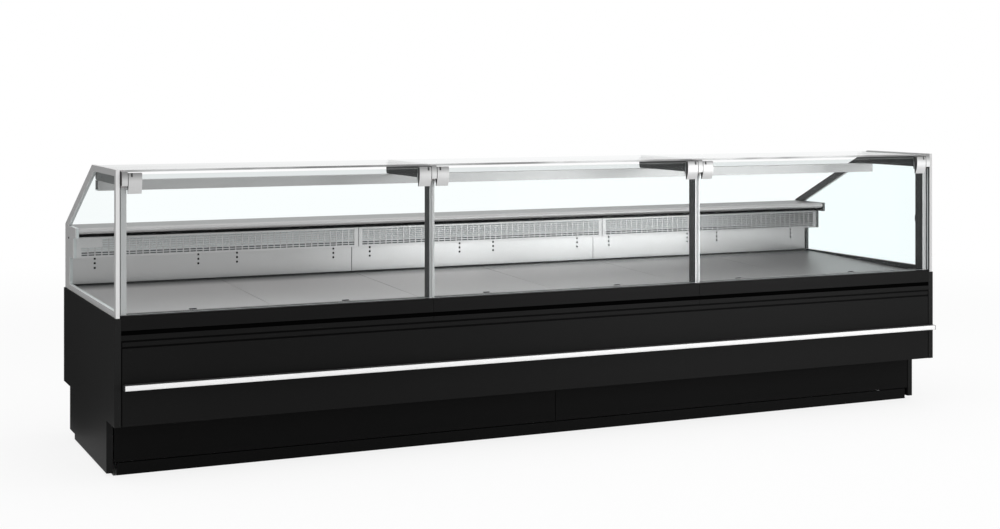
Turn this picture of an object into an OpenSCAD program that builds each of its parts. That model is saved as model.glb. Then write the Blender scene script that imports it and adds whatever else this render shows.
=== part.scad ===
// Serve-over counter, three glass modules long, refrigerated from under the deck.
// Millimetres, length on X, customer side on -Y, service side on +Y, floor at Z zero.

/* [Overall] */
// Length over both end panels
overall_length = 3800; // [2000:10:5200]
// Depth of the end panels
body_depth = 1085; // [900:5:1300]
// Height of the end frames above the floor
overall_height = 1169; // [1080:1:1320]

/* [End panels] */
// Thickness of an end panel
end_panel_thickness = 25; // [16:1:40]
// Height of the body's underside above the floor
underside_height = 213; // [160:1:260]
// Depth of the toe recess, front and rear
toe_recess = 150; // [80:1:200]
// Gap between an end panel and the floor
end_panel_floor_gap = 12; // [4:1:30]
// Depth of the small cut in the rear foot of an end panel
foot_cut_depth = 111; // [60:1:160]
// Height of the small cut in the rear foot of an end panel
foot_cut_height = 21; // [10:1:40]

/* [Base] */
// Thickness of the plinth panels
plinth_thickness = 16; // [10:1:25]
// Height of the skirting strip under the plinth
strip_height = 48; // [30:1:70]
// Width of the base frame's steel tube
frame_tube = 40; // [30:1:60]
// Height of the base frame's long tubes
frame_tube_height = 60; // [40:1:90]
// Height of a levelling foot
foot_height = 40; // [25:1:80]

/* [Front] */
// Thickness of the front panels
front_thickness = 6; // [3:0.5:12]
// Height of the trim strip
trim_height = 16; // [8:1:24]
// Open joint between the panels of the front
front_gap = 7; // [3:0.5:12]
// Height of the upper fascia
fascia_height = 91; // [70:1:120]
// Height of the groove above the fascia's lower edge
groove_rise = 19; // [10:1:40]
// Height of the sill's top face
sill_top = 625; // [600:1:680]
// Depth of the sill
sill_depth = 64; // [50:1:110]
// Width of the groove
groove_width = 17; // [8:1:24]
// How far the bumper stands out of the front
bumper_depth = 33; // [20:1:60]
// Height of the bumper's lower edge
bumper_bottom = 350; // [300:1:420]
// Width of the bumper's face
bumper_height = 21; // [15:1:60]

/* [Glass] */
// Thickness of the front panes
pane_thickness = 6; // [5:0.5:8]
// Depth place of the front panes behind the front
pane_setback = 8; // [6:0.5:12]
// Opening angle the front panes are drawn at
open_angle = 0; // [0:1:88]
// Thickness of the top glass
top_glass_thickness = 8; // [6:0.5:12]
// Drop from the end frames' height to the top glass's underside
top_glass_drop = 12; // [10:1:30]
// Gap between the front panes' top edge and the top glass
pane_top_gap = 7; // [4:1:15]
// Depth place of the top glass's front edge
top_glass_front = 54; // [45:1:120]
// Depth place of the top glass's rear edge
top_glass_rear = 509; // [420:1:620]
// Thickness of the end glass
end_glass_thickness = 6; // [5:0.5:10]

/* [Posts and clamps] */
// Width of a post
post_width = 22; // [16:1:40]
// Depth of a post
post_depth = 52; // [30:1:80]
// Depth place of a post's front face
post_setback = 16; // [15:0.5:22]
// Height of an arm
arm_height = 50; // [30:1:70]
// Width of a clamp
clamp_width = 51; // [35:1:80]
// Height of a clamp
clamp_height = 78; // [50:1:110]
// Radius of a hinge pin
pin_radius = 4.5; // [3:0.5:6]
// Running clearance round a pin
pin_clearance = 0.06; // [0.03:0.01:0.1]

/* [End frames] */
// Thickness of an end frame
end_frame_thickness = 15; // [10:1:25]
// Set-in of an end frame from the end panel's outer face
end_frame_inset = 5; // [0:1:10]
// Depth of an end frame's front post
frame_post_depth = 28; // [18:1:45]
// Height of the lower rail
lower_rail_height = 23; // [15:1:40]
// Height of the top rail
top_rail_height = 25; // [15:1:40]
// Width of the slanting strut
strut_width = 34.5; // [20:0.5:50]

/* [Worktop and duct] */
// Rise of the worktop's top face above the sill
worktop_rise = 261; // [200:1:315]
// Thickness of the worktop's edge
worktop_edge = 24; // [15:1:40]
// Depth of the worktop
worktop_depth = 242; // [200:1:320]
// Height of the support under the worktop
support_height = 17; // [8:1:30]
// Height of the outlet duct
duct_height = 88; // [60:1:110]
// Depth of the outlet duct in front of the tank's rear wall
duct_depth = 129; // [90:1:160]
// Depth of the air riser behind the back panels
riser_depth = 33; // [20:1:60]
// Height of the back panels' lower edge above the deck's front edge
back_rise = 25.5; // [20:0.5:60]

/* [Deck] */
// Drop from the sill to the deck's front edge
deck_drop = 12.5; // [6:0.5:25]
// Depth of the return grille in front of the deck
grille_depth = 40; // [25:1:80]
// Gap between the deck's rear edge and the back panels
deck_back_gap = 56; // [20:1:90]
// Rise of the deck towards the rear in degrees
deck_slope = 1.5; // [0:0.1:1.6]
// Depth of a deck plate's folded rim
deck_rim = 18; // [10:1:20]
// Thickness of sheet metal
sheet = 2; // [1:0.5:3]

/* [Lamp] */
// Height of the lamp profile
lamp_height = 40; // [25:1:60]
// Depth of the lamp profile
lamp_depth = 52; // [30:1:80]
// Set-in of the lamp profile from the top glass's rear edge
lamp_inset = 85; // [60:1:300]

/* [Cooling] */
// Thickness of the tank's insulated walls
wall = 50; // [40:1:60]
// Radius of a fan's blades
fan_radius = 98; // [70:1:105]
// Height of the evaporator coil pack
coil_height = 190; // [120:5:220]
// Depth of the evaporator coil pack
coil_depth = 300; // [200:5:320]

/* [Hidden] */

round_parts = 32;
small_round_parts = 20;
big_round_parts = 48;
half = 0.5;

// Places in the shared frame
left = -overall_length * half;
right = overall_length * half;
total_depth = body_depth + bumper_depth;
front = bumper_depth - total_depth * half;
module_count = 3;
inner_left = left + end_panel_thickness;
inner_right = right - end_panel_thickness;
module_length = (inner_right - inner_left) / module_count;
rear_side_setback = 16;
rear_side = body_depth - rear_side_setback;
rear_panel_depth = 6;
worktop_rear_setback = 8;
worktop_rear = body_depth - worktop_rear_setback;
worktop_front = worktop_rear - worktop_depth;
worktop_height = sill_top + worktop_rise;
top_glass_bottom = overall_height - top_glass_drop;
pane_top = top_glass_bottom - pane_top_gap;
lamp_front = top_glass_rear - lamp_inset;
joint_gap = 1;
panel_joint = 4;
through = 5;

// Base
toe_rear = body_depth - toe_recess;
plinth_back = toe_recess + plinth_thickness;
frame_bottom = underside_height - frame_tube_height;
leg_count = 5;
leg_end_inset = 90;
strip_inset = 15;
strip_setback = 4;
plinth_top_gap = 6;
foot_plate_height = 8;
stud_radius = 8;
foot_radius = frame_tube * half - joint_gap;

// Front, from the sill down
end_panel_drop = 8;
end_panel_top = sill_top - end_panel_drop;
fascia_bottom = sill_top - fascia_height;
groove_bottom = fascia_bottom + groove_rise;
trim_bottom = fascia_bottom - front_gap - trim_height;
front_panel_top = trim_bottom - front_gap;
deck_front_height = sill_top - deck_drop;

// Tank
tank_front = front_thickness;
tank_floor = underside_height + wall;
tank_inner_front = tank_front + wall;
tank_inner_rear = rear_side - wall;
tank_end_wall = 35;
tank_end_drop = 24.5;
tank_end_top = deck_front_height - tank_end_drop;
sill_sheet = 3;

// Evaporator
coil_rear_gap = 199;
coil_rear = tank_inner_rear - coil_rear_gap;
coil_front = coil_rear - coil_depth;
coil_inset = 190;
coil_floor_gap = 22;
fin_group_count = 24;
fin_gap = 12;
fin_core = 25;
coil_plate = 4;
coil_tube_count = 4;
coil_row_count = 3;
coil_tube_radius = 8;
coil_tube_out = 18;

// Drain and pipes
drain_x_share = 0.46;
drain_gap = 50;
drain_depth = coil_front - drain_gap;
drain_radius = 20;
drain_wall = 2;
drain_length = 60;
drain_flange_radius = 34;
drain_flange_height = 4;
pipe_radius = 9;
pipe_pitch = 40;
pipe_inset = 40;
pipe_setback = 120;
pipe_depth = coil_rear - pipe_setback;
pipe_down = 70;

// Duct and back panel
duct_top = worktop_height - worktop_edge - support_height;
duct_bottom = duct_top - duct_height;
duct_face = tank_inner_rear - duct_depth;
back_face = tank_inner_rear - riser_depth;
back_bottom = deck_front_height + back_rise;
duct_cell_count = 12;
duct_row_count = 7;
duct_bar = 4;
duct_margin = 7;
duct_under_depth = 12;
bracket_columns_shares = [0.0704, 0.4304, 0.5696, 0.9296];
bracket_row_count = 3;
bracket_pitch = 20;
bracket_first = 9;
bracket_hole = 9;

// Deck
deck_front = sill_depth + grille_depth;
deck_rear = back_face - deck_back_gap;
deck_tangent = tan(deck_slope);
plate_count = 2;
plate_length = module_length / plate_count;
plate_gap = 1;
finger_slot_length = 28;
finger_slot_depth = 10;
finger_slot_inset = 62;
bearer_width = 20;
bearer_height = 28;
bearer_count = module_count * plate_count + 1;

// Return grille
grille_drop = 2.5;
grille_top = deck_front_height - grille_drop;
grille_slot_count = 14;
grille_bar = 8;
grille_margin = 6;

// Posts
post_end_gap = 1;
post_centres = [inner_left + post_end_gap + post_width * half,
  inner_left + module_length, inner_left + 2 * module_length,
  inner_right - post_end_gap - post_width * half];
knuckle_front = -12;
knuckle_drop = 49;
knuckle_rise = 6;
knuckle_rear_gap = 4;
knuckle_round = 12;
tip_round = 12;
axis_depth = -1;
axis_drop = 14;
axis_height = top_glass_bottom - axis_drop;
clamp_gap = 2;
clamp_top_gap = 1;
clamp_top = top_glass_bottom - clamp_top_gap;
clamp_bulge = 100;
clamp_bulge_drop = 26.5;
clamp_rear_taper = 12;
clamp_rear_plate = 4;
clamp_rear_height = 46;
clamp_round = 6;
pin_reach = 34;
bore_reach = 36;
notch_slot_width = 7;
notch_slot_height = 14;
notch_slot_depth = 5.5;
notch_slot_inset = 9;

// Bulging front that the knuckles share with the clamps
bulge_place = knuckle_front + clamp_bulge;
bulge_height = clamp_top - clamp_bulge_drop;
knuckle_high = top_glass_bottom + knuckle_rise;
knuckle_low = top_glass_bottom - knuckle_drop;
knuckle_inner = clamp_bulge - knuckle_round;
bulge_angle = asin((knuckle_high - knuckle_round - bulge_height) / knuckle_inner);
knuckle_centre = bulge_place - knuckle_inner * cos(bulge_angle);
knuckle_angle = asin((bulge_height - knuckle_low) / clamp_bulge);

// Panes
pane_floor_gap = 3;
pane_side_gap = 1.5;
pane_end_gap = 1;
pane_notch_height = 50;
pane_notch_gap = 3;

// Fans
fan_plate_gap = 190;
fan_plate_place = coil_front - fan_plate_gap;
fan_tip_gap = 7;
fan_opening = fan_radius + fan_tip_gap;
fan_rise = 151;
fan_height = tank_floor + fan_rise;
motor_radius = 34;
motor_length = 46;
hub_radius = 30;
hub_length = 26;
hub_gap = 3;
shaft_radius = 4;
shaft_clearance = 0.05;
shaft_length = 22;
blade_count = 5;
blade_thickness = 3;
blade_pitch = 32;
blade_width = 36;
spider_arm_count = 3;
spider_width = 10;
spider_thickness = 4;
fan_plate_drop = 56.5;
fan_plate_top = deck_front_height - fan_plate_drop;

// Control plate
control_length = 210;
control_height = 70;
control_thickness = 7;
control_x_share = 0.72;
control_drop = 102;
control_z = worktop_height - worktop_edge - control_drop;
switch_length = 24;
switch_height = 16;
switch_slack = 0.6;
switch_pin = 1.6;
switch_pin_clearance = 0.06;
switch_pin_length = 1.5;
switch_proud = 2;
switch_back = 3;
switch_side = 7;
switch_x_share = 0.8;

function y_at(place) = front + place;
function deck_z(place) = deck_front_height + (place - deck_front) * deck_tangent;
function module_start(index) = index == 0 ? left + end_frame_inset + end_frame_thickness
  : inner_left + index * module_length + joint_gap * half;
function module_end(index) = index == module_count - 1 ? right - end_frame_inset - end_frame_thickness
  : inner_left + (index + 1) * module_length - joint_gap * half;
function arc(cy, cz, radius, from, to, parts) =
  [for (i = [0 : parts]) let (a = from + (to - from) * i / parts)
    [cy + radius * cos(a), cz + radius * sin(a)]];

// Block between two corners, depth counted from the front plane
module block(x0, x1, y0, y1, z0, z1) {
  translate([x0, y_at(y0), z0]) cube([x1 - x0, y1 - y0, z1 - z0]);
}

// Depth and height profile pulled along the length
module pulled(points, x0, x1) {
  translate([x0, y_at(0), 0]) rotate([90, 0, 90]) linear_extrude(height = x1 - x0) polygon(points);
}

// Round bar along the length
module bar_x(x0, x1, place, height, radius, parts) {
  translate([x0, y_at(place), height]) rotate([0, 90, 0])
    cylinder(h = x1 - x0, r = radius, $fn = parts);
}

// Round bar along the depth
module bar_y(x, y0, y1, height, radius, parts) {
  translate([x, y_at(y1), height]) rotate([90, 0, 0])
    cylinder(h = y1 - y0, r = radius, $fn = parts);
}

module mirrored_end(is_right) {
  if (is_right) mirror([1, 0, 0]) children(); else children();
}

// End panels of black board
module end_panel() {
  pulled([[0, underside_height], [toe_recess, underside_height], [toe_recess, end_panel_floor_gap],
    [toe_rear - foot_cut_depth, end_panel_floor_gap],
    [toe_rear - foot_cut_depth, end_panel_floor_gap + foot_cut_height],
    [toe_rear, end_panel_floor_gap + foot_cut_height], [toe_rear, underside_height],
    [body_depth, underside_height], [body_depth, end_panel_top], [0, end_panel_top]],
    left, inner_left);
}
module end_panel_left() { color([0.13, 0.13, 0.13]) end_panel(); }
module end_panel_right() { color([0.13, 0.13, 0.13]) mirrored_end(true) end_panel(); }

// Steel base frame with its legs
leg_step = (inner_right - inner_left - 2 * leg_end_inset - frame_tube) / (leg_count - 1);
module base_frame() {
  color([0.16, 0.16, 0.17]) {
    for (y = [plinth_back, toe_rear - plinth_thickness - frame_tube]) {
      block(inner_left, inner_right, y, y + frame_tube, frame_bottom, underside_height);
      for (i = [0 : leg_count - 1]) {
        x = inner_left + leg_end_inset + i * leg_step;
        block(x, x + frame_tube, y, y + frame_tube, foot_height, frame_bottom);
      }
    }
    for (i = [0 : leg_count - 1]) {
      x = inner_left + leg_end_inset + i * leg_step;
      block(x, x + frame_tube, plinth_back + frame_tube, toe_rear - plinth_thickness - frame_tube,
        frame_bottom, underside_height);
    }
  }
}

// Levelling feet, all alike
module levelling_feet() {
  color([0.1, 0.1, 0.1])
    for (y = [plinth_back, toe_rear - plinth_thickness - frame_tube], i = [0 : leg_count - 1]) {
      translate([inner_left + leg_end_inset + i * leg_step + frame_tube * half,
        y_at(y + frame_tube * half), 0]) {
        cylinder(h = foot_plate_height, r = foot_radius, $fn = round_parts);
        cylinder(h = foot_height, r = stud_radius, $fn = small_round_parts);
      }
    }
}

// Plinth panels under the body
plinth_top = underside_height - plinth_top_gap;
plinth_bottom = strip_height + panel_joint;
module plinth_front_left() {
  color([0.1, 0.1, 0.1]) block(inner_left + panel_joint, -joint_gap, toe_recess, plinth_back,
    plinth_bottom, plinth_top);
}
module plinth_front_right() {
  color([0.1, 0.1, 0.1]) block(joint_gap, inner_right - panel_joint, toe_recess, plinth_back,
    plinth_bottom, plinth_top);
}
module plinth_strip() {
  color([0.08, 0.08, 0.08]) block(inner_left + strip_inset, inner_right - strip_inset,
    toe_recess + strip_setback, plinth_back, joint_gap, strip_height);
}
module plinth_rear() {
  color([0.1, 0.1, 0.1]) block(inner_left + panel_joint, inner_right - panel_joint,
    toe_rear - plinth_thickness, toe_rear, end_panel_floor_gap, plinth_top);
}

// Black front panel and trim strip
module front_panel() {
  color([0.12, 0.12, 0.12]) block(inner_left + panel_joint, inner_right - panel_joint,
    0, front_thickness, underside_height + joint_gap, front_panel_top);
}
module trim_strip() {
  color([0.12, 0.12, 0.12]) block(inner_left + panel_joint, inner_right - panel_joint,
    0, front_thickness, trim_bottom, trim_bottom + trim_height);
}

// Upper fascia with its groove and the sill folded back over the tank
groove_depth = front_thickness - sheet;
sill_hook = 22;
module fascia(index) {
  x0 = index == 0 ? inner_left : inner_left + index * module_length + joint_gap * half;
  x1 = index == module_count - 1 ? inner_right : inner_left + (index + 1) * module_length - joint_gap * half;
  color([0.11, 0.11, 0.11]) pulled([[0, fascia_bottom], [front_thickness, fascia_bottom],
    [front_thickness, sill_top - sill_sheet], [sill_depth - sill_sheet, sill_top - sill_sheet],
    [sill_depth - sill_sheet, sill_top - sill_sheet - sill_hook],
    [sill_depth, sill_top - sill_sheet - sill_hook], [sill_depth, sill_top], [0, sill_top],
    [0, groove_bottom + groove_width], [groove_depth, groove_bottom + groove_width],
    [groove_depth, groove_bottom], [0, groove_bottom]], x0, x1);
}
module fascia_1() { fascia(0); }
module fascia_2() { fascia(1); }
module fascia_3() { fascia(2); }

// Bumper rail along the front, hollow behind its rounded face
bumper_left_inset = 30;
bumper_right_inset = 10;
bumper_round = 5;
bumper_wall = 3;
module bumper_rail() {
  top = bumper_bottom + bumper_height;
  near = -bumper_depth;
  color([0.93, 0.93, 0.92]) {
    pulled(concat([[0, bumper_bottom]],
      arc(near + bumper_round, bumper_bottom + bumper_round, bumper_round, 270, 180, 4),
      arc(near + bumper_round, top - bumper_round, bumper_round, 180, 90, 4),
      [[0, top], [0, top - bumper_wall], [near + bumper_wall, top - bumper_wall],
       [near + bumper_wall, bumper_bottom + bumper_wall], [0, bumper_bottom + bumper_wall]]),
      left + bumper_left_inset, right - bumper_right_inset);
    for (x = [left + bumper_left_inset, right - bumper_right_inset - bumper_wall])
      block(x, x + bumper_wall, near + bumper_wall, 0, bumper_bottom + bumper_wall, top - bumper_wall);
  }
}

// Insulated tank with its end walls
drain_x = left + overall_length * drain_x_share;
pipe_x = inner_right - leg_end_inset - frame_tube - pipe_inset;
module tank() {
  color([0.75, 0.76, 0.77]) difference() {
    union() {
      pulled([[tank_front, underside_height], [rear_side, underside_height], [rear_side, duct_top],
        [tank_inner_rear, duct_top], [tank_inner_rear, tank_floor], [tank_inner_front, tank_floor],
        [tank_inner_front, sill_top - sill_sheet], [tank_front, sill_top - sill_sheet]],
        inner_left, inner_right);
      for (x = [inner_left, inner_right - tank_end_wall])
        block(x, x + tank_end_wall, tank_inner_front, tank_inner_rear, tank_floor, tank_end_top);
    }
    translate([drain_x, y_at(drain_depth), underside_height - through])
      cylinder(h = wall + 2 * through, r = drain_radius - drain_wall, $fn = round_parts);
    for (i = [0, 1]) translate([pipe_x, y_at(pipe_depth + i * pipe_pitch), underside_height - through])
      cylinder(h = wall + 2 * through, r = pipe_radius + joint_gap, $fn = small_round_parts);
  }
}

// Return-air grille between the sill and the deck
module return_grille() {
  hook_in = sill_depth;
  color([0.72, 0.73, 0.74]) difference() {
    pulled([[hook_in, grille_top - sheet], [deck_front - joint_gap, grille_top - sheet],
      [deck_front - joint_gap, grille_top], [hook_in + sheet, grille_top],
      [hook_in + sheet, sill_top - sill_sheet], [hook_in, sill_top - sill_sheet]],
      inner_left, inner_right);
    cell = (module_length - grille_margin) / grille_slot_count;
    for (m = [0 : module_count - 1], i = [0 : grille_slot_count - 1])
      block(inner_left + m * module_length + grille_margin + i * cell,
        inner_left + m * module_length + grille_margin + (i + 1) * cell - grille_bar,
        hook_in + grille_margin, deck_front - grille_margin,
        grille_top - sheet - through, grille_top + through);
  }
}

// Deck plates, folded trays lying on the bearers
module deck_plate(index) {
  x0 = inner_left + index * plate_length + plate_gap;
  x1 = inner_left + (index + 1) * plate_length - plate_gap;
  f = deck_front;
  r = deck_rear;
  color([0.74, 0.75, 0.76]) difference() {
    pulled([[f, deck_z(f) - deck_rim], [r, deck_z(r) - deck_rim], [r, deck_z(r)], [f, deck_z(f)]], x0, x1);
    pulled([[f + sheet, deck_z(f + sheet) - deck_rim - through],
      [r - sheet, deck_z(r - sheet) - deck_rim - through],
      [r - sheet, deck_z(r - sheet) - sheet], [f + sheet, deck_z(f + sheet) - sheet]],
      x0 + sheet, x1 - sheet);
    block((x0 + x1 - finger_slot_length) * half, (x0 + x1 + finger_slot_length) * half,
      f + finger_slot_inset, f + finger_slot_inset + finger_slot_depth,
      deck_front_height - deck_rim, deck_front_height + deck_rim);
  }
}
module deck_plate_1() { deck_plate(0); }
module deck_plate_2() { deck_plate(1); }
module deck_plate_3() { deck_plate(2); }
module deck_plate_4() { deck_plate(3); }
module deck_plate_5() { deck_plate(4); }
module deck_plate_6() { deck_plate(5); }

// Bearers under the seams of the deck, the end ones standing on the end walls
module deck_bearers() {
  f = tank_inner_front;
  r = tank_inner_rear;
  last = bearer_count - 1;
  color([0.68, 0.69, 0.7]) for (i = [0 : last]) {
    at_end = i == 0 || i == last;
    x0 = i == 0 ? inner_left : i == last ? inner_right - bearer_width
      : inner_left + i * plate_length - bearer_width * half;
    low_front = at_end ? tank_end_top : deck_z(f) - deck_rim - bearer_height;
    low_rear = at_end ? tank_end_top : deck_z(r) - deck_rim - bearer_height;
    pulled([[f, low_front], [r, low_rear], [r, deck_z(r) - deck_rim], [f, deck_z(f) - deck_rim]],
      x0, x0 + bearer_width);
  }
}

// Back panels with their bracket holes
module back_panel(index) {
  start = inner_left + index * module_length;
  color([0.74, 0.75, 0.76]) difference() {
    block(module_start(index), module_end(index), back_face, back_face + sheet, back_bottom, duct_bottom);
    for (s = bracket_columns_shares, k = [0 : bracket_row_count - 1])
      block(start + s * module_length - bracket_hole * half, start + s * module_length + bracket_hole * half,
        back_face - through, back_face + sheet + through,
        duct_bottom - bracket_first - k * bracket_pitch - bracket_hole,
        duct_bottom - bracket_first - k * bracket_pitch);
  }
}
module back_panel_1() { back_panel(0); }
module back_panel_2() { back_panel(1); }
module back_panel_3() { back_panel(2); }

// Outlet ducts with the slotted air grille
module outlet_duct(index) {
  x0 = module_start(index);
  x1 = module_end(index);
  cell = (x1 - x0 - duct_margin) / duct_cell_count;
  row = (duct_top - duct_bottom - 2 * duct_margin) / duct_row_count;
  color([0.74, 0.75, 0.76]) difference() {
    pulled([[duct_face, duct_bottom], [back_face + sheet, duct_bottom],
      [back_face + sheet, duct_bottom + sheet], [duct_face + sheet, duct_bottom + sheet],
      [duct_face + sheet, duct_top - sheet],
      [tank_inner_rear, duct_top - sheet], [tank_inner_rear, duct_top], [duct_face, duct_top]], x0, x1);
    for (i = [0 : duct_cell_count - 1], k = [0 : duct_row_count - 1])
      block(x0 + duct_margin + i * cell, x0 + (i + 1) * cell,
        duct_face - through, duct_face + sheet + through,
        duct_bottom + duct_margin + k * row + duct_bar * half,
        duct_bottom + duct_margin + (k + 1) * row - duct_bar * half);
    for (i = [0 : duct_cell_count - 1])
      block(x0 + duct_margin + i * cell, x0 + (i + 1) * cell,
        duct_face + duct_margin, duct_face + duct_margin + duct_under_depth,
        duct_bottom - through, duct_bottom + sheet + through);
  }
}
module outlet_duct_1() { outlet_duct(0); }
module outlet_duct_2() { outlet_duct(1); }
module outlet_duct_3() { outlet_duct(2); }

// Steel worktop with a rounded front edge
work_left = left + end_frame_inset + end_frame_thickness;
module worktop() {
  r = worktop_edge * half;
  color([0.78, 0.79, 0.8]) pulled(concat([[worktop_rear, worktop_height - worktop_edge],
    [worktop_rear, worktop_height]],
    arc(worktop_front + r, worktop_height - r, r, 90, 270, 10)), work_left, -work_left);
}
support_setback = 65;
module worktop_support() {
  color([0.2, 0.2, 0.2]) block(work_left, -work_left, worktop_front + support_setback, rear_side,
    duct_top, worktop_height - worktop_edge);
}

// Panel on the service side
control_x = left + overall_length * control_x_share;
module rear_panel() {
  color([0.62, 0.63, 0.64]) block(inner_left + joint_gap, inner_right - joint_gap,
    rear_side, rear_side + rear_panel_depth, underside_height, worktop_height - worktop_edge);
}

// Control plate with the light switch
switch_x = control_x + control_length * switch_x_share;
control_face = rear_side + rear_panel_depth;
switch_axis = control_face + control_thickness * half;
switch_z = control_z + control_height * half;
module control_plate() {
  color([0.12, 0.12, 0.13]) difference() {
    block(control_x, control_x + control_length, control_face, control_face + control_thickness,
      control_z, control_z + control_height);
    block(switch_x - switch_length * half, switch_x + switch_length * half,
      control_face - through, control_face + control_thickness + through,
      switch_z - switch_height * half, switch_z + switch_height * half);
    bar_x(switch_x - switch_length * half - switch_pin_length - joint_gap,
      switch_x + switch_length * half + switch_pin_length + joint_gap,
      switch_axis, switch_z, switch_pin + switch_pin_clearance, small_round_parts);
  }
}
module lamp_switch() {
  y = switch_axis;
  edge = y + control_thickness * half;
  tip = switch_side - joint_gap * half;
  x0 = switch_x - switch_length * half;
  x1 = switch_x + switch_length * half;
  color([0.85, 0.86, 0.85]) {
    pulled([[y - switch_back, switch_z - switch_side * half],
      [y - switch_back, switch_z + switch_side * half], [edge, switch_z + tip],
      [y + switch_proud, switch_z], [edge, switch_z - tip]], x0 + switch_slack, x1 - switch_slack);
    bar_x(x0 - switch_pin_length, x1 + switch_pin_length, y, switch_z, switch_pin, small_round_parts);
  }
}

// Evaporator with its end plates and tube ends
coil_left = inner_left + tank_end_wall + coil_inset;
coil_right = inner_right - tank_end_wall - coil_inset;
module evaporator() {
  pack = (coil_right - coil_left - 2 * coil_plate) / fin_group_count;
  low = tank_floor + coil_floor_gap;
  top = low + coil_height;
  color([0.7, 0.72, 0.74]) {
    for (x = [coil_left, coil_right - coil_plate])
      block(x, x + coil_plate, coil_front, coil_rear, tank_floor, top + coil_plate);
    difference() {
      block(coil_left, coil_right, coil_front, coil_rear, low, top);
      for (i = [1 : fin_group_count - 1])
        difference() {
          x = coil_left + coil_plate + i * pack;
          block(x - fin_gap * half, x + fin_gap * half, coil_front - through, coil_rear + through,
            low - through, top + through);
          block(x - fin_gap, x + fin_gap, coil_front + fin_core, coil_rear - fin_core,
            low + fin_core, top - fin_core);
        }
    }
    for (i = [0 : coil_tube_count - 1], k = [0 : coil_row_count - 1])
      bar_x(coil_left - coil_tube_out, coil_right + coil_tube_out,
        coil_front + (coil_rear - coil_front) * (i + half) / coil_tube_count,
        low + coil_height * (k + half) / coil_row_count, coil_tube_radius, small_round_parts);
  }
}

// Refrigerant pipe stubs going down through the tank floor
module pipe_stubs() {
  color([0.72, 0.45, 0.3]) for (i = [0, 1])
    translate([pipe_x, y_at(pipe_depth + i * pipe_pitch), underside_height - pipe_down]) {
      cylinder(h = wall + pipe_down + coil_floor_gap, r = pipe_radius, $fn = small_round_parts);
      translate([0, 0, pipe_down + wall])
        cylinder(h = sheet, r = pipe_radius + 2 * sheet, $fn = small_round_parts);
    }
}

// Plate carrying the fan motors
function fan_x(index) = inner_left + (index + half) * module_length;
module fan_plate() {
  color([0.66, 0.67, 0.68]) {
    difference() {
      block(inner_left + tank_end_wall, inner_right - tank_end_wall, fan_plate_place,
        fan_plate_place + sheet, tank_floor, fan_plate_top);
      for (i = [0 : module_count - 1])
        bar_y(fan_x(i), fan_plate_place - through, fan_plate_place + sheet + through,
          fan_height, fan_opening, big_round_parts);
    }
    for (i = [0 : module_count - 1]) {
      bar_y(fan_x(i), fan_plate_place - motor_length, fan_plate_place, fan_height, motor_radius, round_parts);
      bar_y(fan_x(i), fan_plate_place - joint_gap, fan_plate_place + hub_gap + shaft_length,
        fan_height, shaft_radius, small_round_parts);
      for (a = [0 : spider_arm_count - 1])
        translate([fan_x(i), y_at(fan_plate_place - spider_thickness), fan_height])
          rotate([0, 360 * a / spider_arm_count, 0])
            translate([-spider_width * half, 0, 0])
              cube([spider_width, spider_thickness, fan_opening + spider_width]);
    }
  }
}

// Fan wheels
module fan(index) {
  start = fan_plate_place + hub_gap;
  color([0.15, 0.15, 0.16]) difference() {
    union() {
      bar_y(fan_x(index), start, start + hub_length, fan_height, hub_radius, round_parts);
      for (b = [0 : blade_count - 1])
        translate([fan_x(index), y_at(start + hub_length * half), fan_height])
          rotate([0, 360 * b / blade_count, 0])
            rotate([0, 0, blade_pitch])
              translate([-blade_width * half, -blade_thickness * half, hub_radius - blade_thickness])
                cube([blade_width, blade_thickness, fan_radius - hub_radius]);
    }
    bar_y(fan_x(index), start - through, start + shaft_length + joint_gap, fan_height,
      shaft_radius + shaft_clearance, small_round_parts);
  }
}
module fan_1() { fan(0); }
module fan_2() { fan(1); }
module fan_3() { fan(2); }

// Drain stub under the tank
module drain() {
  color([0.3, 0.3, 0.32]) translate([drain_x, y_at(drain_depth), underside_height]) difference() {
    union() {
      translate([0, 0, -drain_flange_height])
        cylinder(h = drain_flange_height, r = drain_flange_radius, $fn = round_parts);
      translate([0, 0, -drain_length]) cylinder(h = drain_length, r = drain_radius, $fn = round_parts);
    }
    translate([0, 0, -drain_length - through])
      cylinder(h = drain_length + 2 * through, r = drain_radius - drain_wall, $fn = round_parts);
  }
}

// End frames with their stepped rear plate
strut_foot_rise = 6;
strut_foot_height = worktop_height + strut_foot_rise;
strut_top_inset = 39;
strut_top_place = top_glass_rear - strut_top_inset;
strut_fall = (overall_height - strut_foot_height) / (worktop_rear - strut_top_place);
strut_drop = strut_width * sqrt(1 + strut_fall * strut_fall);
rear_plate_setback = 8;
work_plate_rise = 2;
rail_low = end_panel_top + lower_rail_height;
rail_high = overall_height - top_rail_height;
plate_high = worktop_height + work_plate_rise;
function strut_inner(z) = strut_top_place + (overall_height - strut_drop - z) / strut_fall;
window = [[frame_post_depth, rail_low], [back_face - rear_plate_setback, rail_low],
  [back_face - rear_plate_setback, duct_bottom], [duct_face, duct_bottom], [duct_face, duct_top],
  [worktop_front, duct_top], [worktop_front, plate_high], [strut_inner(plate_high), plate_high],
  [strut_inner(rail_high), rail_high], [frame_post_depth, rail_high]];
frame_left = left + end_frame_inset;
module end_frame() {
  difference() {
    pulled([[0, end_panel_top], [worktop_rear, end_panel_top], [worktop_rear, strut_foot_height],
      [strut_top_place, overall_height], [0, overall_height]], frame_left, frame_left + end_frame_thickness);
    pulled(window, frame_left - through, frame_left + end_frame_thickness + through);
  }
}
module end_frame_left() { color([0.72, 0.73, 0.74]) end_frame(); }
module end_frame_right() { color([0.72, 0.73, 0.74]) mirrored_end(true) end_frame(); }

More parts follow.
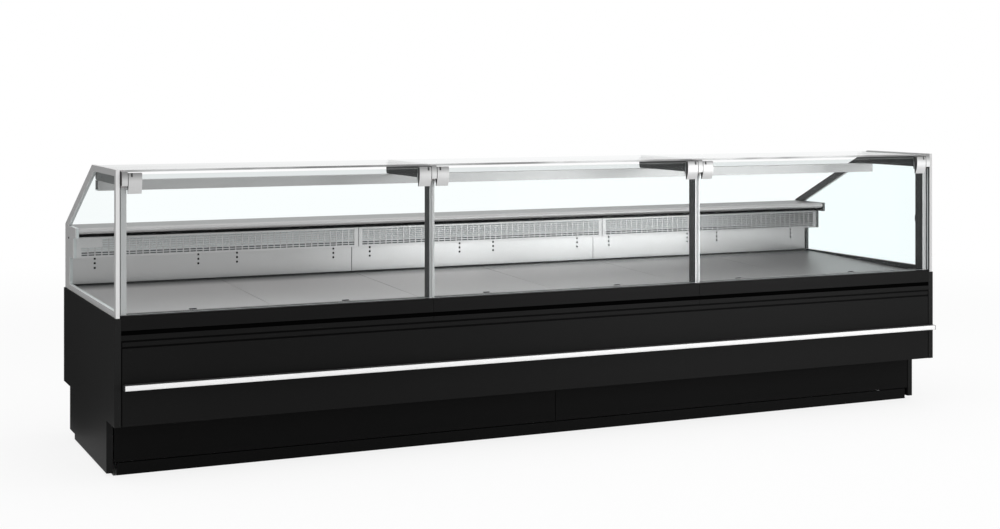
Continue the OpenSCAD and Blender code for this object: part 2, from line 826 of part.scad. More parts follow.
// End glass filling the frame
module end_glass() {
  x = frame_left + (end_frame_thickness - end_glass_thickness) * half;
  pulled(window, x, x + end_glass_thickness);
}
module end_glass_left() { color([0.8, 0.95, 0.93, 0.35]) end_glass(); }
module end_glass_right() { color([0.8, 0.95, 0.93, 0.35]) mirrored_end(true) end_glass(); }

// Posts with their arm, knuckle and hinge pin
module post(index) {
  x0 = post_centres[index] - post_width * half;
  x1 = x0 + post_width;
  low = top_glass_bottom - arm_height;
  color([0.8, 0.81, 0.82]) {
    pulled(concat([[post_setback, sill_top], [post_setback + post_depth, sill_top],
      [post_setback + post_depth, low]],
      arc(top_glass_rear - tip_round, low + tip_round, tip_round, 270, 360, 6),
      [[top_glass_rear, top_glass_bottom], [top_glass_front - knuckle_rear_gap, top_glass_bottom],
       [top_glass_front - knuckle_rear_gap, knuckle_high]],
      arc(knuckle_centre, knuckle_high - knuckle_round, knuckle_round, 90, 180 - bulge_angle, 5),
      arc(bulge_place, bulge_height, clamp_bulge, 180, 180 + knuckle_angle, 3),
      [[post_setback, knuckle_low]]), x0, x1);
    bar_x(index == 0 ? x0 + through : x0 - clamp_gap - pin_reach,
      index == module_count ? x1 - through : x1 + clamp_gap + pin_reach,
      axis_depth, axis_height, pin_radius, round_parts);
  }
}
module post_1() { post(0); }
module post_2() { post(1); }
module post_3() { post(2); }
module post_4() { post(3); }

// Swings a hinged pane about its pins
module swung() {
  translate([0, y_at(axis_depth), axis_height]) rotate([-open_angle, 0, 0])
    translate([0, -y_at(axis_depth), -axis_height]) children();
}

// Front panes, cut round the knuckles
function pane_left(index) = index == 0 ? work_left + pane_end_gap + joint_gap
  : post_centres[index] + pane_side_gap;
function pane_right(index) = index == module_count - 1 ? -work_left - pane_end_gap - joint_gap
  : post_centres[index + 1] - pane_side_gap;
module front_glass(index) {
  x0 = pane_left(index);
  x1 = pane_right(index);
  cut = post_width * half + pane_notch_gap;
  color([0.8, 0.95, 0.93, 0.35]) swung() difference() {
    block(x0, x1, pane_setback, pane_setback + pane_thickness, sill_top + pane_floor_gap, pane_top);
    for (x = [[x0 - through, post_centres[index] + cut], [post_centres[index + 1] - cut, x1 + through]])
      block(x[0], x[1], pane_setback - through, pane_setback + pane_thickness + through,
        pane_top - pane_notch_height, pane_top + through);
  }
}
module front_glass_1() { front_glass(0); }
module front_glass_2() { front_glass(1); }
module front_glass_3() { front_glass(2); }

// Clamps gripping the top edge of a pane, bored for the pins
module clamp_body(x0, x1, bore0, bore1, slot_x) {
  near = knuckle_front;
  low = clamp_top - clamp_height;
  behind = pane_setback + pane_thickness;
  rear = behind + clamp_rear_plate;
  difference() {
    intersection() {
      pulled(concat([[near, low], [pane_setback, low], [pane_setback, pane_top], [behind, pane_top],
        [behind, clamp_top - clamp_rear_height - clamp_rear_taper],
        [rear, clamp_top - clamp_rear_height]],
        arc(rear - clamp_round, clamp_top - clamp_round, clamp_round, 0, 90, 4),
        [[near, clamp_top]]), x0, x1);
      bar_x(x0 - through, x1 + through, bulge_place, bulge_height, clamp_bulge, big_round_parts);
    }
    bar_x(bore0, bore1, axis_depth, axis_height, pin_radius + pin_clearance, round_parts);
    block(slot_x, slot_x + notch_slot_width, near - through, near + notch_slot_depth,
      clamp_top - notch_slot_height, clamp_top + through);
  }
}
module clamps(index) {
  a = post_centres[index] + post_width * half + clamp_gap;
  b = post_centres[index + 1] - post_width * half - clamp_gap;
  color([0.86, 0.87, 0.87]) swung() {
    clamp_body(a, a + clamp_width, a - through, a + bore_reach, a + notch_slot_inset);
    clamp_body(b - clamp_width, b, b - bore_reach, b + through, b - notch_slot_inset - notch_slot_width);
  }
}
module clamps_1() { clamps(0); }
module clamps_2() { clamps(1); }
module clamps_3() { clamps(2); }

// Top glass resting on the arms
module top_glass(index) {
  x0 = index == 0 ? work_left + pane_end_gap : post_centres[index] + pane_side_gap;
  x1 = index == module_count - 1 ? -work_left - pane_end_gap : post_centres[index + 1] - pane_side_gap;
  color([0.8, 0.95, 0.93, 0.35]) block(x0, x1, top_glass_front, top_glass_rear,
    top_glass_bottom, top_glass_bottom + top_glass_thickness);
}
module top_glass_1() { top_glass(0); }
module top_glass_2() { top_glass(1); }
module top_glass_3() { top_glass(2); }

// Lamp profile hanging under the arms
lamp_top = top_glass_bottom - arm_height;
module lamp_beam() {
  y0 = lamp_front;
  y1 = lamp_front + lamp_depth;
  low = lamp_top - lamp_height;
  color([0.82, 0.83, 0.84]) pulled([[y0, low], [y0 + sheet, low], [y0 + sheet, lamp_top - sheet],
    [y1 - sheet, lamp_top - sheet], [y1 - sheet, low], [y1, low], [y1, lamp_top], [y0, lamp_top]],
    work_left, -work_left);
}
module lamp_diffuser() {
  low = lamp_top - lamp_height;
  color([0.97, 0.97, 0.95]) block(work_left, -work_left, lamp_front + sheet,
    lamp_front + lamp_depth - sheet, low, low + 2 * sheet);
}

end_panel_left();
end_panel_right();
base_frame();
levelling_feet();
plinth_front_left();
plinth_front_right();
plinth_strip();
plinth_rear();
front_panel();
trim_strip();
fascia_1();
fascia_2();
fascia_3();
bumper_rail();
tank();
return_grille();
deck_plate_1();
deck_plate_2();
deck_plate_3();
deck_plate_4();
deck_plate_5();
deck_plate_6();
deck_bearers();
back_panel_1();
back_panel_2();
back_panel_3();
outlet_duct_1();
outlet_duct_2();
outlet_duct_3();
worktop();
worktop_support();
rear_panel();
control_plate();
lamp_switch();
evaporator();
pipe_stubs();
fan_plate();
fan_1();
fan_2();
fan_3();
drain();
end_frame_left();
end_frame_right();
end_glass_left();
end_glass_right();
post_1();
post_2();
post_3();
post_4();
front_glass_1();
front_glass_2();
front_glass_3();
clamps_1();
clamps_2();
clamps_3();
top_glass_1();
top_glass_2();
top_glass_3();
lamp_beam();
lamp_diffuser();
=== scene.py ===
from math import cos, pi, radians

import bmesh
import bpy
from mathutils import Matrix, Vector


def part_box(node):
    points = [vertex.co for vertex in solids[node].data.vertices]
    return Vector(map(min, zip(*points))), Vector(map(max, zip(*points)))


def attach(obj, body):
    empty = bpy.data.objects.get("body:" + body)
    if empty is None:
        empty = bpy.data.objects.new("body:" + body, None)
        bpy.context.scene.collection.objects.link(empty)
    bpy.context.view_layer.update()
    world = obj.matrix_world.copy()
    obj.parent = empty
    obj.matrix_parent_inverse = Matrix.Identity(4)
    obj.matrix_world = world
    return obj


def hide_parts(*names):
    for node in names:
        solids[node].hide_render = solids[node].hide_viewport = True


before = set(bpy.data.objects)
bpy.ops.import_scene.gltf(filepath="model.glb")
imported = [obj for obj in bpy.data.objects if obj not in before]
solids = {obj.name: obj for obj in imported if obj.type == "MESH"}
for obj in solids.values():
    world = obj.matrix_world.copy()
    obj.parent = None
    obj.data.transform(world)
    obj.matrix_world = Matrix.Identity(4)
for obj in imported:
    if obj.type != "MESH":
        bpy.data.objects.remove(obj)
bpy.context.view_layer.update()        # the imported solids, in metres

# Camera.
# The view of the photograph: the counter seen from its front left corner,
# level, with the frame shifted down so that uprights stay upright.
eye = bpy.data.cameras.new("eye")
eye.sensor_width = 36
eye.lens = 58.17
eye.shift_y = -0.1719
eye.clip_end = 100
camera = bpy.data.objects.new("camera", eye)
camera.location = (-3.0990, -6.5529, 1.4546)
camera.rotation_euler = (radians(90), 0, radians(-24.676))
bpy.context.scene.collection.objects.link(camera)
bpy.context.scene.camera = camera
bpy.context.scene.view_settings.view_transform = "Standard"


# Shop floor and light.
# A pale floor that keeps the shadow, a white surround, wide soft lamps overhead
# and at the front right, and a lamp and a dark card that only reflections see.
class Reading:
    """A socket of a shader, so that sums on it are written as sums."""

    def __init__(self, shader, socket):
        self.shader = shader
        self.socket = socket

    def sum(self, operation, *terms):
        return self.shader.node("ShaderNodeMath", {"operation": operation},
                                dict(enumerate(terms)))

    def __add__(self, other):
        return self.sum("ADD", self, other)

    def __sub__(self, other):
        return self.sum("SUBTRACT", self, other)

    def __rsub__(self, other):
        return self.sum("SUBTRACT", other, self)

    def __mul__(self, other):
        return self.sum("MULTIPLY", self, other)

    def __pow__(self, other):
        return self.sum("POWER", self, other)

    def __gt__(self, other):
        return self.sum("GREATER_THAN", self, other)

    def __lt__(self, other):
        return self.sum("LESS_THAN", self, other)

    __radd__ = __add__
    __rmul__ = __mul__


class Shader:
    """The nodes of one material, or of the world."""

    def __init__(self, owner):
        owner.use_nodes = True
        self.tree = owner.node_tree
        self.tree.nodes.clear()

    def node(self, kind, settings=None, sockets=None, out=None):
        """A new node. The output named comes back, or else its first live one."""
        made = self.tree.nodes.new(kind)
        for key, value in (settings or {}).items():
            setattr(made, key, value)
        for key, value in (sockets or {}).items():
            if isinstance(key, int):
                socket = made.inputs[key]
            else:
                socket = next(s for s in made.inputs if s.enabled and s.name == key)
            if isinstance(value, Reading):
                self.tree.links.new(value.socket, socket)
            else:
                socket.default_value = value
        if out:
            return Reading(self, made.outputs[out])
        return next((Reading(self, s) for s in made.outputs if s.enabled), None)

    def place(self):
        return self.node("ShaderNodeTexCoord", out="Object")

    def stretched(self, scale):
        """Object coordinates, squeezed by a scale on each axis."""
        return self.node("ShaderNodeMapping", sockets={"Vector": self.place(), "Scale": scale})

    def axis(self, name, vector=None):
        return self.node("ShaderNodeSeparateXYZ", sockets={"Vector": vector or self.place()},
                         out=name)

    def ray(self, kind):
        return self.node("ShaderNodeLightPath", out=f"Is {kind} Ray")

    def mix(self, share, first, second):
        return self.node("ShaderNodeMix", {"data_type": "RGBA"},
                         {"Factor": share, "A": first, "B": second})

    def noise(self, vector, scale, detail=2.0, rough=0.5):
        return self.node("ShaderNodeTexNoise", sockets={
            "Vector": vector, "Scale": scale, "Detail": detail, "Roughness": rough})

    def smooth(self, value, low, high):
        return self.node("ShaderNodeMapRange", {"interpolation_type": "SMOOTHSTEP"},
                         {"Value": value, "From Min": low, "From Max": high})

    def bump(self, height, strength, distance):
        return self.node("ShaderNodeBump", sockets={
            "Height": height, "Strength": strength, "Distance": distance})


def grey(tone, warm=0.0):
    return (tone * (1 + warm), tone, tone, 1)


def points_of(geometry):
    return [part for part in geometry if isinstance(part, bmesh.types.BMVert)]


def staged(name, bm, material):
    """A thing of the studio, which isn't part of the counter."""
    mesh = bpy.data.meshes.new(name)
    bm.to_mesh(mesh)
    bm.free()
    mesh.materials.append(material)
    made = bpy.data.objects.new(name, mesh)
    bpy.context.scene.collection.objects.link(made)
    return made


floor_half = 30
glow_near, glow_far = 0.84, 1.0
fade_start, fade_end = 3.0, 8.0          # distance from the counter's middle
shade_x, shade_front, shade_back = 1.872, -0.366, 0.400    # the floor behind the plinth

floor_material = bpy.data.materials.new("studio_floor")
s = Shader(floor_material)
rays = s.ray("Camera") + s.ray("Glossy") + s.ray("Transmission")
along, across = s.axis("X"), s.axis("Y")
distance = s.node("ShaderNodeVectorMath", {"operation": "LENGTH"}, {0: s.place()}, out="Value")
far = s.smooth(distance, fade_start, fade_end)
under = ((along > -shade_x) * (along < shade_x)
         * (across > shade_front) * (across < shade_back))
share = (rays > 0.5) * (glow_near + far * (glow_far - glow_near)) * (1 - under)
cement = s.node("ShaderNodeBsdfDiffuse", sockets={"Color": grey(0.90)})
glow = s.node("ShaderNodeEmission", sockets={"Color": grey(1.0), "Strength": 1.0})
seen = s.node("ShaderNodeMixShader", sockets={0: share, 1: cement, 2: glow})
s.node("ShaderNodeOutputMaterial", sockets={"Surface": seen})

bm = bmesh.new()
bmesh.ops.create_grid(bm, x_segments=4, y_segments=4, size=floor_half)
staged("studio_floor", bm, floor_material)

grey_side = (-0.62, 0.78, 0.0)           # where metal mirrors a greyer surround

world = bpy.data.worlds.new("surround")
bpy.context.scene.world = world
s = Shader(world)
rays = s.ray("Camera") + s.ray("Transmission")
shiny = s.ray("Glossy")
heading = s.node("ShaderNodeTexCoord", out="Generated")
towards = s.node("ShaderNodeVectorMath", {"operation": "DOT_PRODUCT"},
                 {0: heading, 1: grey_side}, out="Value")
flag = s.smooth(towards, 0.45, 0.95)
ceiling = s.smooth(s.axis("Z", heading), 0.35, 0.9)
mirrored = s.mix(flag, s.mix(ceiling, grey(1.0), grey(0.6)), grey(0.5))
unseen = s.mix(shiny, grey(0.72), mirrored)
colour = s.mix(rays > 0.5, unseen, grey(1.0))
back = s.node("ShaderNodeBackground", sockets={"Color": colour, "Strength": 1.0})
s.node("ShaderNodeOutputWorld", sockets={"Surface": back})


def lamp(name, place, aim, width, height, watts):
    light = bpy.data.lights.new(name, "AREA")
    light.shape = "RECTANGLE"
    light.size = width
    light.size_y = height
    light.energy = watts
    made = bpy.data.objects.new(name, light)
    made.location = place
    made.rotation_euler = (Vector(aim) - Vector(place)).to_track_quat("-Z", "Y").to_euler()
    made.visible_camera = False
    bpy.context.scene.collection.objects.link(made)
    return made


overhead = lamp("overhead_lamp", place=(0.3, -0.8, 4.2), aim=(0.1, 0, 0.6),
                width=7.0, height=4.5, watts=95)
front_right = lamp("front_right_lamp", place=(3.95, -6.3, 0.95), aim=(0.6, 0.46, 0.7),
                   width=2.7, height=1.8, watts=85)
sheen = lamp("sheen_lamp", place=(2.25, -3.0, 1.1), aim=(2.25, 0.46, 1.1),
             width=2.9, height=2.0, watts=59)
overhead.visible_glossy = front_right.visible_glossy = False
sheen.visible_diffuse = sheen.visible_transmission = False

card_half_width, card_half_depth, card_height = 1.95, 1.6, 2.8
card_place = (-3.9, 2.0, 0.002)

dark_card = bpy.data.materials.new("dark_card")
s = Shader(dark_card)
black = s.node("ShaderNodeEmission", sockets={"Color": grey(0.07)})
s.node("ShaderNodeOutputMaterial", sockets={"Surface": black})
bm = bmesh.new()
bmesh.ops.create_grid(bm, x_segments=1, y_segments=1, size=1)
bmesh.ops.scale(bm, vec=(card_half_width, card_half_depth, 1), verts=bm.verts)
rear_edge = [e for e in bm.edges if all(v.co.y > 0 for v in e.verts)]
fold = bmesh.ops.extrude_edge_only(bm, edges=rear_edge)["geom"]
bmesh.ops.translate(bm, vec=(0, 0, card_height), verts=points_of(fold))
bmesh.ops.translate(bm, vec=card_place, verts=bm.verts)
card = staged("dark_card", bm, dark_card)
card.visible_camera = card.visible_diffuse = False
card.visible_transmission = card.visible_shadow = False


# Steel frame and levelling feet.
# Square steel tube welded up and powder coated dark; plastic levelling feet
# screw into its legs. Both are behind the plinth.
def finish(name, colour, rough, metallic=0.0, specular=0.5):
    """A shader with its fixed values set; its varying sockets are linked after."""
    material = bpy.data.materials.new(name)
    s = Shader(material)
    s.material = material
    s.shell = s.node("ShaderNodeBsdfPrincipled", sockets={
        "Base Color": colour, "Roughness": rough, "Metallic": metallic,
        "Specular IOR Level": specular})
    s.node("ShaderNodeOutputMaterial", sockets={"Surface": s.shell})
    return s


def feed(s, **readings):
    """Links what varies to the shell: base, rough or normal."""
    names = {"base": "Base Color", "rough": "Roughness", "normal": "Normal"}
    inputs = s.shell.socket.node.inputs
    for key, reading in readings.items():
        s.tree.links.new(reading.socket, inputs[names[key]])
    return s.material


def coated(name, tone, rough, specular):
    """Powder-coated sheet: fine orange peel, faint cloudiness and a little dust low down."""
    s = finish(name, grey(tone), rough, specular=specular)
    cloud = s.noise(s.place(), 2.3, 3)
    peel = s.noise(s.place(), 700, 2)
    dust = 1 - s.smooth(s.axis("Z"), 0.0, 0.45)
    base = s.mix(cloud * 0.5 + dust * 0.25, grey(tone * 0.86), grey(tone * 1.22))
    return feed(s, base=base, rough=rough + (cloud - 0.5) * 0.12 + (peel - 0.5) * 0.05,
                normal=s.bump(peel, 0.35, 0.00012))


def moulded(name, tone, rough, grain=1100, depth=0.00006, specular=0.4):
    """Moulded plastic with a fine spark-eroded texture."""
    s = finish(name, grey(tone), rough, specular=specular)
    grit = s.noise(s.place(), grain, 3, 0.6)
    cloud = s.noise(s.place(), 9, 2)
    return feed(s, base=s.mix(cloud, grey(tone * 0.9), grey(tone)),
                rough=rough + (grit - 0.5) * 0.14, normal=s.bump(grit, 0.4, depth))


def stand(name, bm, *finishes, body="counter", slot=None, replaces=()):
    """Makes the finished object from its bmesh, and lets it ride on its body.
    Its normals are weighted by area, so that flat faces stay flat beside rounded edges."""
    bm.normal_update()
    alike = cos(radians(50))
    pull = {f: f.normal * f.calc_area() for f in bm.faces}
    normals = []
    for f in bm.faces:
        f.smooth = True
        for v in f.verts:
            total = Vector()
            for other in v.link_faces:
                if other.normal.dot(f.normal) > alike:
                    total += pull[other]
            normals.append(total.normalized() if total.length > 0 else f.normal.copy())
    mesh = bpy.data.meshes.new(name)
    bm.to_mesh(mesh)
    bm.free()
    mesh.normals_split_custom_set(normals)
    for item in finishes:
        mesh.materials.append(item)
    made = bpy.data.objects.new(name, mesh)
    bpy.context.scene.collection.objects.link(made)
    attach(made, body)
    if replaces:
        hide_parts(*replaces)
    return made


def paint(item, *names):
    """Gives solids that keep their own mesh a finish."""
    for name in names:
        mesh = solids[name].data
        mesh.materials.clear()
        mesh.materials.append(item)


def eased(bm, width, segments=2, angle=30):
    """Rounds the edges sharper than an angle, as a deburred or folded edge is."""
    if width:
        sharp = [e for e in bm.edges
                 if len(e.link_faces) == 2 and e.calc_face_angle(0) > radians(angle)]
        bmesh.ops.bevel(bm, geom=sharp, offset=width, offset_type="OFFSET", segments=segments,
                        profile=0.5, affect="EDGES", clamp_overlap=True, material=-1)
    return bm


def join(bm, part):
    """Adds one bmesh to another."""
    held = bpy.data.meshes.new("held")
    part.to_mesh(held)
    part.free()
    bm.from_mesh(held)
    bpy.data.meshes.remove(held)


def turned(profile, steps, centre):
    """A full turning of a radius and height profile about an upright axis."""
    part = bmesh.new()
    points = [part.verts.new((r, 0, z)) for r, z in profile]
    edges = [part.edges.new(pair) for pair in zip(points, points[1:])]
    bmesh.ops.spin(part, geom=points + edges, cent=(0, 0, 0), axis=(0, 0, 1), angle=2 * pi,
                   steps=steps, use_merge=True, use_duplicate=False)
    bmesh.ops.remove_doubles(part, verts=part.verts, dist=0.000002)
    bmesh.ops.recalc_face_normals(part, faces=part.faces)
    bmesh.ops.translate(part, vec=centre, verts=part.verts)
    return part


def hexagon(radius, low, high, centre):
    """A nut between two heights."""
    part = bmesh.new()
    bmesh.ops.create_cone(part, cap_ends=True, segments=6, radius1=radius, radius2=radius,
                          depth=high - low)
    eased(part, 0.0006)
    bmesh.ops.translate(part, vec=Vector(centre) + Vector((0, 0, (low + high) / 2)),
                        verts=part.verts)
    return part


frame_coat = coated("frame_coat", 0.008, 0.55, 0.08)
paint(frame_coat, "base_frame", "worktop_support")

foot_plastic = moulded("foot_plastic", 0.012, 0.6)
s = finish("stud_zinc", grey(0.45), 0.35, 1.0)
stud_zinc = feed(s, rough=0.28 + s.noise(s.place(), 160, 2) * 0.2)

foot_first, foot_step, foot_columns = -1.765, 0.8825, 5
foot_rows = (-0.340, 0.373)
pad = [(0, 0), (0.0182, 0), (0.019, 0.0012), (0.019, 0.0045), (0.0165, 0.0085),
       (0.0095, 0.0118), (0, 0.0118)]
crest, root, pitch = 0.0057, 0.0049, 0.003
thread = [(0.0, 0.0125)]
for turn in range(9):
    thread += [(crest, 0.0128 + turn * pitch), (root, 0.0143 + turn * pitch)]
thread += [(root, 0.0395), (0.0, 0.0395)]
nut_radius, nut_foot, nut_top = 0.0096, 0.0315, 0.0385

pads = bmesh.new()
studs = bmesh.new()
for i in range(foot_columns):
    for y in foot_rows:
        centre = (foot_first + i * foot_step, y, 0)
        join(pads, turned(pad, 28, centre))
        join(studs, turned(thread, 16, centre))
        join(studs, hexagon(nut_radius, nut_foot, nut_top, centre))
stand("feet_pads", pads, foot_plastic, slot="foot_plastic", replaces=["levelling_feet"])
stand("feet_studs", studs, stud_zinc, slot="frame_steel")


# Tank, drain, pipes and cooling.
# Foamed panels with pale coated sheet on both sides form one tank; the coil of
# aluminium fins on copper tube, and the fans on their plate, lie under the deck.
s = finish("tank_coat", grey(0.15), 0.5, 0.0, 0.02)
peel = s.noise(s.place(), 500, 2)
cloud = s.noise(s.place(), 2.3, 3)
# The face behind the black front panel is painted nearly black, as painted shade in the gaps
# between the front sheets.
gap_shade = s.axis("Y") < -0.5195          # the face behind the black front panel
pale = s.mix(cloud, grey(0.13), grey(0.17))
tank_coat = feed(s, base=s.mix(gap_shade, pale, grey(0.004)), rough=0.38 + cloud * 0.1,
                 normal=s.bump(peel, 0.3, 0.0001))
paint(tank_coat, "tank")

s = finish("fin_metal", grey(0.5), 0.34, 1.0)
fins = s.node("ShaderNodeTexWave", {"wave_type": "BANDS", "bands_direction": "X"},
              {"Vector": s.place(), "Scale": 125, "Distortion": 0.4, "Detail": 1})
fin_metal = feed(s, base=s.mix(fins, grey(0.13), grey(0.62)), rough=0.28 + fins * 0.2,
                 normal=s.bump(fins, 0.7, 0.0008))
paint(fin_metal, "evaporator")

s = finish("copper_pipe", (0.60, 0.27, 0.16, 1), 0.28, 1.0)
tarnish = s.noise(s.place(), 60, 4)
copper = feed(s, base=s.mix(tarnish, (0.34, 0.15, 0.09, 1), (0.70, 0.34, 0.21, 1)),
              rough=0.2 + tarnish * 0.25)
paint(copper, "pipe_stubs")
paint(moulded("drain_plastic", 0.06, 0.5), "drain")
paint(moulded("fan_plastic", 0.012, 0.5), "fan_1", "fan_2", "fan_3")


# End panels and rear panel.
# Black laminated board at each end, with a fine pebbled face; the service side
# is closed with one folded sheet, coated pale grey.
def copied(node, width=0.0008, segments=2, angle=30):
    """A merged copy of a solid's mesh with eased edges."""
    bm = bmesh.new()
    bm.from_mesh(solids[node].data)
    bmesh.ops.remove_doubles(bm, verts=bm.verts, dist=0.00001)
    bmesh.ops.dissolve_limit(bm, angle_limit=radians(0.8), verts=bm.verts, edges=bm.edges)
    return eased(bm, width, segments, angle)


board_tone = 0.0158
s = finish("black_board", grey(board_tone), 0.46, 0.0, 0.03)
pebble = s.node("ShaderNodeTexVoronoi", {"feature": "SMOOTH_F1"},
                {"Vector": s.place(), "Scale": 750}, out="Distance")
cloud = s.noise(s.place(), 1.7, 3)
# The board is painted darker towards the floor, as painted shade.
upper = s.smooth(s.axis("Z"), 0.0, 0.62)
base = s.mix(cloud * 0.35 + upper * 0.55, grey(board_tone * 0.72), grey(board_tone * 1.2))
black_board = feed(s, base=base, rough=0.42 + cloud * 0.08 + pebble * 0.06,
                   normal=s.bump(pebble, 0.3, 0.00010))
for node in ("end_panel_left", "end_panel_right"):
    stand(node + "_board", copied(node, 0.0012), black_board, slot="black_board",
          replaces=[node])
stand("rear_cover", copied("rear_panel", 0.0009), coated("rear_coat", 0.36, 0.45, 0.35),
      slot="rear_coat", replaces=["rear_panel"])


# Plinth.
# Two black coated plinth panels on the legs' front with a skirting strip under
# them, and one at the back, all clipped on.
plinth_coat = coated("plinth_coat", 0.0042, 0.55, 0.04)
for node in ("plinth_front_left", "plinth_front_right", "plinth_strip", "plinth_rear"):
    stand(node + "_sheet", copied(node), plinth_coat, slot="plinth", replaces=[node])


# Front panel, trim and fascias.
# Folded sheet, powder coated satin black: one long front panel, a narrow trim
# strip over it, and three fascias whose tops fold back as the sill.
def block(bm, low, high, width=0.0, segments=2):
    """A rectangular piece between two corners, its edges eased, added to a bmesh."""
    low, high = Vector(low), Vector(high)
    part = bmesh.new()
    bmesh.ops.create_cube(part, size=1)
    bmesh.ops.scale(part, vec=high - low, verts=part.verts)
    bmesh.ops.translate(part, vec=(low + high) / 2, verts=part.verts)
    join(bm, eased(part, width, segments))


front_coat = coated("front_coat", 0.0070, 0.42, 0.055)
for node in ("front_panel", "trim_strip", "fascia_1", "fascia_2", "fascia_3"):
    stand(node + "_sheet", copied(node, 0.0005), front_coat, slot="black_sheet",
          replaces=[node])

# A matte black sheet lines the back of each groove and its lips, as painted shade that makes the
# groove read deep.
groove_shade_black = moulded("groove_shade_black", 0.0015, 0.9, specular=0.0)
groove_foot, groove_top, lip_foot, lip_top = 0.5532, 0.5698, 0.5530, 0.5534
for i in (1, 2, 3):
    low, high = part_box(f"fascia_{i}")
    left, right = low.x + 0.0004, high.x - 0.0004
    shade_sheet = bmesh.new()
    block(shade_sheet, (left, low.y + 0.0030, groove_foot), (right, low.y + 0.0042, groove_top),
          0.0003)
    block(shade_sheet, (left, low.y + 0.0012, lip_foot), (right, low.y + 0.0040, lip_top), 0.0001)
    stand(f"groove_shade_sheet_{i}", shade_sheet, groove_shade_black, slot="black_sheet")


# Bumper rail.
# A dark aluminium carrier with a pale plastic strip pressed into its front, and
# a moulded cap on each end.
def drawn(profile, low, high):
    """A profile in depth and height, drawn out along the counter's length."""
    part = bmesh.new()
    face = part.faces.new([part.verts.new((low, y, z)) for y, z in profile])
    out = bmesh.ops.extrude_face_region(part, geom=[face])["geom"]
    bmesh.ops.translate(part, vec=(high - low, 0, 0), verts=points_of(out))
    bmesh.ops.recalc_face_normals(part, faces=part.faces)
    return part


bumper_low, bumper_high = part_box("bumper_rail")
rail_foot, rail_top, rail_depth, cap_long = 0.350, 0.371, 0.033, 0.004


def rail(profile):
    """A rail between the caps; its profile is in mm, out from the panel and up from its foot."""
    return drawn([(bumper_high.y - out / 1000, rail_foot + up / 1000) for out, up in profile],
                 bumper_low.x + cap_long, bumper_high.x - cap_long)


carrier = rail([(0, 0), (25.5, 0), (27.5, 2), (27.5, 4.5), (24, 6), (24, 15), (27.5, 16.5),
                (27.5, 19), (25.5, 21), (0, 21), (0, 18.5), (4, 18.5), (4, 2.5), (0, 2.5)])
insert = rail([(24.2, 6.2), (27.8, 4.0), (30.0, 0.7), (32.2, 2.5), (33.0, 6.0), (33.0, 15.0),
               (32.2, 18.5), (30.0, 20.3), (27.8, 17.0), (24.2, 14.8)])
stand("bumper_carrier", eased(carrier, 0.0004), coated("bumper_carrier", 0.055, 0.4, 0.3),
      slot="bumper")
stand("bumper_strip", eased(insert, 0.0005, angle=40),
      moulded("bumper_strip", 0.96, 0.34, 900, 0.00003), slot="bumper",
      replaces=["bumper_rail"])

for side, start, tone in (("left", bumper_low.x, 0.02),
                          ("right", bumper_high.x - cap_long, 0.16)):
    cap = bmesh.new()
    block(cap, (start, bumper_high.y - rail_depth, rail_foot),
          (start + cap_long, bumper_high.y, rail_top), 0.0016, 3)
    stand(f"bumper_cap_{side}", cap, moulded(f"bumper_cap_{side}", tone, 0.45), slot="bumper")


# Deck bearers and deck plates.
# Stainless steel trays with a satin finish, brushed along the counter, each
# lifted by a finger slot near its front edge; they lie on folded bearers.
steel_warmth = 0.06      # the steel's own, which offsets the glass's tint
right_end = 1.9
# Where the painted shadow at the back starts and where it is full.
rear_start, rear_full = 0.25, 0.40


def brushed(name, tone, rough=0.32, fade=None, rear=0.0, metallic=1.0):
    """Satin stainless steel with long fine streaks and faint smears. Painted shade darkens it:
    fade is where along the counter that starts and how much it takes, rear its share of painted
    shadow at the back."""
    s = finish(name, grey(tone), rough, metallic)
    streak = s.noise(s.stretched((1.2, 260, 260)), 3.2, 4, 0.62)
    smear = s.noise(s.place(), 3.1, 4)
    base = s.mix(streak * 0.4 + smear * 0.4, grey(tone * 0.97, steel_warmth),
                 grey(tone * 1.035, steel_warmth))
    # Painted shade, darker towards the right end.
    if fade:
        start, share = fade
        painted_shade_tone = grey(tone * (1 - share), steel_warmth)
        base = s.mix(s.smooth(s.axis("X"), start, right_end), base, painted_shade_tone)
    # Painted shadow at the back, where the ducts overhang the deck.
    if rear:
        base = s.mix(s.smooth(s.axis("Y"), rear_start, rear_full) * rear, base, grey(0.02))
    return feed(s, base=base, rough=rough + (streak - 0.5) * 0.008 + (smear - 0.5) * 0.015)


# The deck trays are painted darker towards the right end, and nearly black towards the back
# panels, as painted shadow.
deck_steel = brushed("deck_steel", 0.53, 0.36, fade=(-1.2, 0.70), rear=0.94, metallic=0.6)
paint(brushed("bearer_steel", 0.05), "deck_bearers")
paint(brushed("plate_steel", 0.36), "fan_plate")
for i in range(1, 7):
    node = f"deck_plate_{i}"
    stand(f"deck_tray_{i}", copied(node, 0.0012, 3), deck_steel, slot="display_steel",
          replaces=[node])

inside_left = -1.875     # the deck's left end
plate_long = 0.625
tab_half, tab_foot = 0.015, 0.6130
tab_walls = ((-0.3500, -0.3485, 0.6170), (-0.3615, -0.3605, 0.6150))    # front, back and top
tabs = bmesh.new()
for i in range(6):
    x = inside_left + (i + 0.5) * plate_long
    for wall_front, wall_back, wall_top in tab_walls:
        block(tabs, (x - tab_half, wall_front, tab_foot), (x + tab_half, wall_back, wall_top),
              0.0003)
stand("finger_tabs", tabs, moulded("tab_black", 0.012, 0.5), slot="fan_plastic")

# The baffle is black, as painted shade in the gap between the deck and the back panels.
baffle = drawn([(0.4042, 0.6100), (0.4052, 0.6100), (0.4052, 0.6322), (0.4590, 0.6335),
                (0.4590, 0.6368), (0.4598, 0.6368), (0.4598, 0.6325), (0.4042, 0.6312)],
               -1.8745, 1.8745)
stand("rear_baffle", eased(baffle, 0.0003), moulded("baffle_black", 0.012, 0.6),
      slot="fan_plastic")


